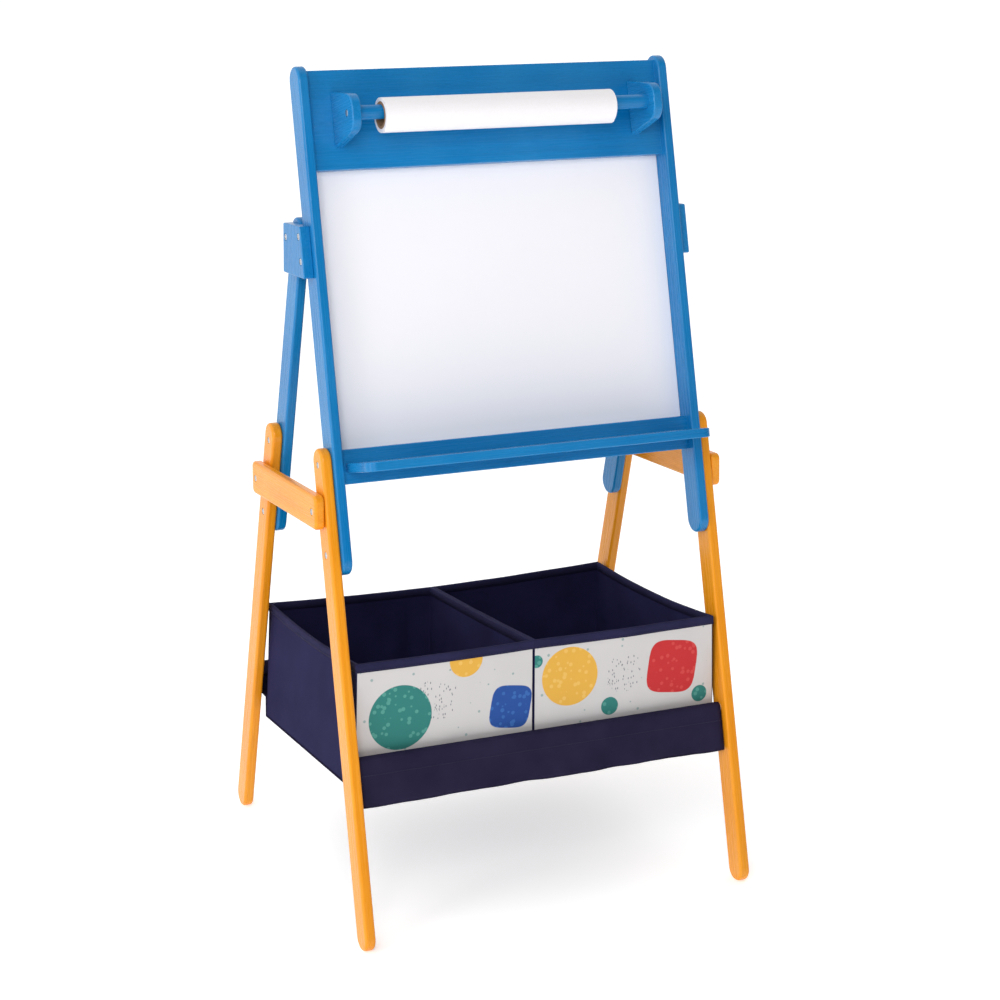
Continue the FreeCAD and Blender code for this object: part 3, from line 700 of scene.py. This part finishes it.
# Stitches
# Short navy thread stitches, laid one after another along a seam line.
def thread_material():
    material, tree, shader = new_finish("navy_thread")
    place = node(tree, "ShaderNodeTexCoord").outputs["Object"]
    twist = noise_of(tree, place, 2600, 2)
    colour = blend_colours(tree, twist, shade(33, 31, 56), shade(48, 45, 74))
    roughness = spread(tree, twist, 0.3, 0.7, 0.5, 0.7)
    feed(tree, shader, colour, roughness, bump_of(tree, twist, 0.00005, 0.6))
    return material


def stitch_tree():
    tree = bpy.data.node_groups.new("stitches", "GeometryNodeTree")
    face = tree.interface
    face.new_socket("Seam", in_out="INPUT", socket_type="NodeSocketGeometry")
    face.new_socket("Spacing", in_out="INPUT", socket_type="NodeSocketFloat")
    face.new_socket("Thread Radius", in_out="INPUT", socket_type="NodeSocketFloat")
    face.new_socket("Finish", in_out="INPUT", socket_type="NodeSocketMaterial")
    face.new_socket("Stitches", in_out="OUTPUT", socket_type="NodeSocketGeometry")
    given = tree.nodes.new("NodeGroupInput").outputs
    line = node(tree, "GeometryNodeMeshToCurve", {"Mesh": given["Seam"]})
    points = {"Curve": line.outputs[0], "Length": given["Spacing"]}
    points = node(tree, "GeometryNodeCurveToPoints", points, mode="LENGTH")
    bead = {"Segments": 6, "Rings": 5, "Radius": given["Thread Radius"]}
    bead = node(tree, "GeometryNodeMeshUVSphere", bead)
    placed = {"Points": points.outputs["Points"], "Instance": bead.outputs["Mesh"]}
    placed.update({"Rotation": points.outputs["Rotation"], "Scale": (1, 1, 4.6)})
    placed = node(tree, "GeometryNodeInstanceOnPoints", placed)
    solid = node(tree, "GeometryNodeRealizeInstances", {"Geometry": placed.outputs[0]})
    coated = {"Geometry": solid.outputs[0], "Material": given["Finish"]}
    coated = node(tree, "GeometryNodeSetMaterial", coated)
    node(tree, "NodeGroupOutput", {"Stitches": coated.outputs[0]})
    return tree


stitches = stitch_tree()
thread = thread_material()
thread_r = 0.0003
stitch_pitch = 0.0042


def stitched(name, lines, closed):
    """Stitches along one or more seam lines, as one plain mesh."""
    points, edges = [], []
    for line in lines:
        start = len(points)
        points += line
        edges += [(start + i, start + i + 1) for i in range(len(line) - 1)]
        if closed:
            edges.append((start + len(line) - 1, start))
    mesh = bpy.data.meshes.new(name)
    mesh.from_pydata(points, edges, [])
    piece = in_scene(name, mesh)
    return run_tree(piece, stitches, {"Spacing": stitch_pitch, "Thread Radius": thread_r, "Finish": thread})


# Bins
# Open boxes of cloth over card: thin stiff walls that bow a little, a printed front, and a bound
# rim with a row of stitches. The rim and the floor slope down to the back.
bin_wall = 0.003
bin_flare = 0.004
floor_fall = 0.0265
floor_depth = 0.3653
outer_rim_sag = 0.0068
other_rim_sag = 0.0013
meeting_corner_drop = 0.0068
side_bow = 0.0022
end_bow = 0.0012
meeting_bow = -0.0012
crease_depth = 0.0011
fine_crease_depth = 0.0003
rear_folds = ((0.13, 0.0026), (0.2, -0.00208), (0.3, 0.0013))
rear_fold_width = 0.032
shell_round = 0.0009
seam_in = 0.0018
binding_width = 0.011
binding_proud = 0.0008
edge_strip = 0.0012
wall_columns = 26
wall_rows = 16


class Bin:
    """The walls of one bin: a point for a side, a share along it, a drop below the rim."""

    def __init__(self, name, node_name, front_print, inner_side):
        low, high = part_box(node_name)
        self.name = name
        self.node_name = node_name
        self.low, self.high = low, high
        self.front_print = front_print
        self.inner_side = inner_side
        self.seed = low.x * 40

    def corner(self, index, drop, out):
        """Corners run front left, front right, rear right, rear left."""
        right = index in (1, 2)
        rear = index in (2, 3)
        share = drop / bin_height
        spread_out = bin_flare * share
        x = self.high.x + out if right else self.low.x - out
        if right and self.inner_side == 3:
            x += spread_out
        if not right and self.inner_side == 1:
            x -= spread_out
        if rear:
            y = self.high.y - bin_flare * (1 - share) + out
            z = self.low.z + bin_height - drop
            if right == (self.inner_side == 1):
                z -= meeting_corner_drop * (1 - share)
        else:
            y = self.low.y + bin_flare * (1 - share) - out
            z = self.high.z - drop
        return Vector((x, y, z))

    def point(self, side, share, drop, out):
        start = self.corner(side, drop, out)
        end = self.corner((side + 1) % 4, drop, out)
        place = start.lerp(end, share)
        normal = (Vector((0, -1, 0)), Vector((1, 0, 0)), Vector((0, 1, 0)), Vector((-1, 0, 0)))[side]
        along = math.sin(math.pi * share)
        down = math.sin(math.pi * min(1, drop / bin_height))
        bow = side_bow if side in (1, 3) else end_bow
        if side == self.inner_side:
            bow = meeting_bow
        crease = noise.noise(Vector((share * 7 + side * 3, drop * 9, self.seed)))
        fine = noise.noise(Vector((share * 21 + side * 5, drop * 26, self.seed)))
        rough = (crease_depth * crease + fine_crease_depth * fine) * along * (0.25 + 0.75 * down)
        moved = bow * along * down + rough
        outer_side = 4 - self.inner_side
        if side == 2:
            from_meeting = share if self.inner_side == 1 else 1 - share
            for centre, depth in rear_folds:
                moved += depth * down * math.exp(-((from_meeting - centre) / rear_fold_width) ** 2)
        sag = outer_rim_sag if side == outer_side else other_rim_sag
        slack = sag * along * max(0, 1 - drop / bin_height)
        slack += 0.0006 * along * noise.noise(Vector((share * 5 + side, self.seed, 7)))
        return place + normal * moved - Vector((0, 0, slack))

    def ring(self, drop, out):
        """One closed loop of points round the bin."""
        points = []
        for side in range(4):
            width = (self.corner(side, drop, out) - self.corner((side + 1) % 4, drop, out)).length
            strip = edge_strip / width
            broad = [strip + (1 - 2 * strip) * i / wall_columns for i in range(wall_columns)]
            shares = [0, *broad, 1 - strip]
            points += [self.point(side, share, drop, out) for share in shares]
        return points


def skin_of_rings(name, rings, materials, capped=False, print_rows=0):
    """Join closed loops of points into a skin, with a map in metres along and down it."""
    work = bmesh.new()
    loops = [[work.verts.new(point) for point in ring] for ring in rings]
    cloth = work.loops.layers.uv.new("cloth")
    count = len(rings[0])
    side_count = count // 4
    down = 0.0
    for row, (first, second) in enumerate(zip(loops, loops[1:])):
        step_down = (rings[row][0] - rings[row + 1][0]).length
        along = 0.0
        for column in range(count):
            following = (column + 1) % count
            width = (rings[row][column] - rings[row][following]).length
            face = work.faces.new((first[column], first[following], second[following], second[column]))
            front = 0 < column < side_count - 1
            face.material_index = 1 if row < print_rows and front else 0
            spots = ((along, down), (along + width, down))
            spots += ((along + width, down + step_down), (along, down + step_down))
            for loop, spot in zip(face.loops, spots):
                loop[cloth].uv = spot
            along += width
        down += step_down
    for loop_row in (loops[0], loops[-1]) if capped else ():
        face = work.faces.new(loop_row)
        for loop in face.loops:
            loop[cloth].uv = (loop.vert.co.x, loop.vert.co.y)
    bmesh.ops.recalc_face_normals(work, faces=work.faces)
    for face in work.faces:
        face.smooth = True
    return piece_from(work, name, *materials)


def soften(piece, width):
    """Round a cloth piece's corners and keep its broad faces flat-shaded at them."""
    bevel = piece.modifiers.new("soft_edges", "BEVEL")
    bevel.width = width
    bevel.segments = 2
    bevel.limit_method = "ANGLE"
    bevel.angle_limit = math.radians(50)
    bevel.harden_normals = True


def crumple(piece):
    """Give a cloth piece a mesh of its own."""
    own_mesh(piece)


def sew_bin(bin_shape):
    rows = [bin_height * (1 - row / wall_rows) for row in range(wall_rows + 1)]
    floor_drop = bin_height - bin_wall
    inner_rows = [floor_drop * row / wall_rows for row in range(wall_rows + 1)]
    rings = [bin_shape.ring(drop, 0) for drop in rows]
    rings += [bin_shape.ring(drop, -bin_wall) for drop in inner_rows]
    shell = skin_of_rings(bin_shape.name, rings, (bin_navy, bin_shape.front_print), True, wall_rows)
    soften(shell, shell_round)
    proud = binding_proud
    profile = [(binding_width, 0.0001), (binding_width, proud), (0, proud), (-proud, proud * 0.4)]
    profile += [(-proud, -bin_wall - proud * 0.4), (0, -bin_wall - proud)]
    profile += [(binding_width, -bin_wall - proud), (binding_width, -bin_wall - 0.0001)]
    binding_rings = [bin_shape.ring(drop, out) for drop, out in profile]
    binding = skin_of_rings(bin_shape.name + "_binding", binding_rings, (binding_navy,))
    seam = bin_shape.ring(binding_width - seam_in, proud + thread_r / 3)
    seam_stitches = stitched(bin_shape.name + "_stitches", [seam], True)
    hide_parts(bin_shape.node_name)
    for piece in (shell, binding, seam_stitches):
        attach(piece, bin_shape.node_name)
        crumple(piece)


left_bin = Bin("cloth_bin_left", "bin_left", printed_cloth("left_print", left_print, 0.115), 1)
right_bin = Bin("cloth_bin_right", "bin_right", printed_cloth("right_print", right_print, 0.135), 3)
sew_bin(left_bin)
sew_bin(right_bin)


# Base boards
# A card board covered in the same cloth stiffens each bin's floor.
board_round = 0.001


def base_board(name, node_name, body):
    low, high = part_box(node_name)
    drop = floor_fall * (high.y - low.y) / floor_depth
    thick = high.z - low.z - drop
    columns = 12
    work = bmesh.new()
    cloth = work.loops.layers.uv.new("cloth")
    grid = {}
    for layer in (0, 1):
        for i in range(columns + 1):
            for j in range(columns + 1):
                x = low.x + (high.x - low.x) * i / columns
                y = low.y + (high.y - low.y) * j / columns
                z = high.z - thick * (1 - layer) - drop * j / columns
                grid[layer, i, j] = work.verts.new((x, y, z))
    for i in range(columns):
        for j in range(columns):
            work.faces.new((grid[1, i, j], grid[1, i + 1, j], grid[1, i + 1, j + 1], grid[1, i, j + 1]))
            work.faces.new((grid[0, i, j], grid[0, i, j + 1], grid[0, i + 1, j + 1], grid[0, i + 1, j]))
    for i in range(columns):
        for j in (0, columns):
            work.faces.new((grid[0, i, j], grid[0, i + 1, j], grid[1, i + 1, j], grid[1, i, j]))
            work.faces.new((grid[0, j, i], grid[0, j, i + 1], grid[1, j, i + 1], grid[1, j, i]))
    bmesh.ops.recalc_face_normals(work, faces=work.faces)
    for face in work.faces:
        for loop in face.loops:
            loop[cloth].uv = (loop.vert.co.x, loop.vert.co.y)
    piece = piece_from(work, name, bin_navy)
    soften(piece, board_round)
    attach(piece, body)
    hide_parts(node_name)
    crumple(piece)


base_board("covered_base_left", "bin_base_left", "bin_left")
base_board("covered_base_right", "bin_base_right", "bin_right")


# Sling
# One strip of cloth hemmed round the front bar, hanging as a band in front of the bins, passing
# under them, and rising to a hem round the rear bar. Its lower edges ripple where it is slack.
sling_low, sling_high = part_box("storage_sling")
front_bar = sum(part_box("sling_bar_front"), Vector()) / 2
rear_bar = sum(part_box("sling_bar_rear"), Vector()) / 2
hem_r = 0.0072
hem_tail = 0.022
front_drop = 0.059
rear_drop = 0.045
cloth_thick = 0.0009
under_gap = 0.0018
hem_tuck = 0.0017
arc_steps = 12
sling_columns = 90
band_step = 0.006
floor_step = 0.012
edge_wander = 0.0052
fold_depth = 0.0105
fold_slant = 0.5
fold_seed = 4
seam_below = 0.019
seam_inset = 0.003
seam_points = 120


def round_hem(bar, up, out, tail):
    """The hem from its sewn tail, behind and over the bar, to the bar's outer side."""
    points = [bar - up * tail + out * (hem_r - hem_tuck)]
    points.append(bar - up * (hem_r * 1.6) - out * (hem_r * 0.2))
    for step in range(arc_steps + 1):
        angle = math.pi * (1 - step / arc_steps)
        points.append(bar + hem_r * (out * math.cos(angle) + up * math.sin(angle)))
    return points


out_front = -bracket_grain
out_rear = Vector((0, math.cos(rear_lean), -math.sin(rear_lean)))
front_bar.x = rear_bar.x = 0
front_hem = round_hem(front_bar, up_front, out_front, hem_tail)
rear_hem = list(reversed(round_hem(rear_bar, up_rear, out_rear, hem_tail)))
bin_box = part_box("bin_left")
front_fold = front_bar + out_front * hem_r - up_front * front_drop
rear_fold_point = rear_bar + out_rear * hem_r - up_rear * rear_drop
under_front = Vector((0, bin_box[0].y, bin_box[0].z + floor_fall - under_gap))
under_rear = Vector((0, bin_box[1].y + under_gap, bin_box[0].z - under_gap))


def divided(points, step):
    """Points every so often along straight runs between the given ones."""
    out = []
    for first, second in zip(points, points[1:]):
        count = max(1, round((second - first).length / step))
        out += [first.lerp(second, i / count) for i in range(count)]
    return out + [points[-1]]


front_run = divided([front_hem[-1], front_fold, under_front], band_step)
floor_run = divided([under_front, under_rear], floor_step)
behind_bins = Vector((0, under_rear.y, rear_fold_point.z))
rear_run = divided([under_rear, behind_bins, rear_fold_point, rear_hem[0]], band_step)
sling_path = front_hem + front_run[1:] + floor_run[1:] + rear_run[1:] + rear_hem[1:]
front_rows = (len(front_hem), len(front_hem) + len(front_run) - 1)
rear_rows = (len(sling_path) - len(rear_hem) - len(rear_run) + 1, len(sling_path) - len(rear_hem))


def slack_wave(x, seed):
    """How the cloth's free lower edge wanders along the bar, from -1 to 1."""
    broad = noise.noise(Vector((x * 7, seed, 1.3)))
    narrow = noise.noise(Vector((x * 19, seed, 5.1)))
    return broad * 0.9 + narrow * 0.4


def sling_point(row, x):
    place = sling_path[row].copy()
    place.x = x
    inside = 1 - abs(x) / sling_high.x
    edge = min(1, inside * 9)
    for (start, end), bar, up, out, drop in (
        (front_rows, front_bar, up_front, out_front, front_drop),
        (rear_rows, rear_bar, up_rear, out_rear, rear_drop),
    ):
        if start <= row < end:
            fallen = max(0, min(1, -(sling_path[row] - bar).dot(up) / drop))
            beyond = max(0, (sling_path[row] - bar).dot(out) / hem_r)
            share = fallen ** 1.4 * min(1, beyond) * edge
            slanted = x + fold_slant * (sling_path[row] - bar).dot(up)
            looseness = 0.75 + 0.5 * max(-0.5, min(1, x / 0.15))
            place += up * edge_wander * slack_wave(x, bar.y) * share
            folds = slack_wave(slanted * 1.9 + 2, bar.y + fold_seed)
            place += out * fold_depth * looseness * folds * share
    return place


def sling_cloth():
    work = bmesh.new()
    cloth = work.loops.layers.uv.new("cloth")
    width = sling_high.x - sling_low.x
    travelled = [0.0]
    for first, second in zip(sling_path, sling_path[1:]):
        travelled.append(travelled[-1] + (second - first).length)
    xs = [sling_low.x + width * i / sling_columns for i in range(sling_columns + 1)]
    grid = [[work.verts.new(sling_point(row, x)) for x in xs] for row in range(len(sling_path))]
    for row in range(len(sling_path) - 1):
        for column in range(sling_columns):
            corner_verts = (grid[row][column], grid[row + 1][column])
            corner_verts += (grid[row + 1][column + 1], grid[row][column + 1])
            face = work.faces.new(corner_verts)
            face.smooth = True
            spots = ((xs[column], travelled[row]), (xs[column], travelled[row + 1]))
            spots += ((xs[column + 1], travelled[row + 1]), (xs[column + 1], travelled[row]))
            for loop, spot in zip(face.loops, spots):
                loop[cloth].uv = spot
    bmesh.ops.recalc_face_normals(work, faces=work.faces)
    piece = piece_from(work, "sling_cloth", sling_navy)
    thicken = piece.modifiers.new("cloth_thickness", "SOLIDIFY")
    thicken.thickness = cloth_thick
    thicken.offset = 0
    return piece, travelled[-1]


def hem_line(rows, bar, up, out):
    """A seam across the band, a little below the bar, on the cloth's outer face."""
    row = min(range(*rows), key=lambda r: abs(-(sling_path[r] - bar).dot(up) - seam_below))
    first = sling_low.x + seam_inset
    width = sling_high.x - sling_low.x - 2 * seam_inset
    xs = [first + width * i / seam_points for i in range(seam_points + 1)]
    return [sling_point(row, x) + out * (cloth_thick / 2 + thread_r / 3) for x in xs]


sling, sling_length = sling_cloth()
front_seams = [hem_line(front_rows, front_bar, up_front, out_front)]
rear_seams = [hem_line(rear_rows, rear_bar, up_rear, out_rear)]
front_stitches = stitched("sling_front_stitches", front_seams, False)
rear_stitches = stitched("sling_rear_stitches", rear_seams, False)
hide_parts("storage_sling")
for piece in (sling, front_stitches, rear_stitches):
    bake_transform(piece)
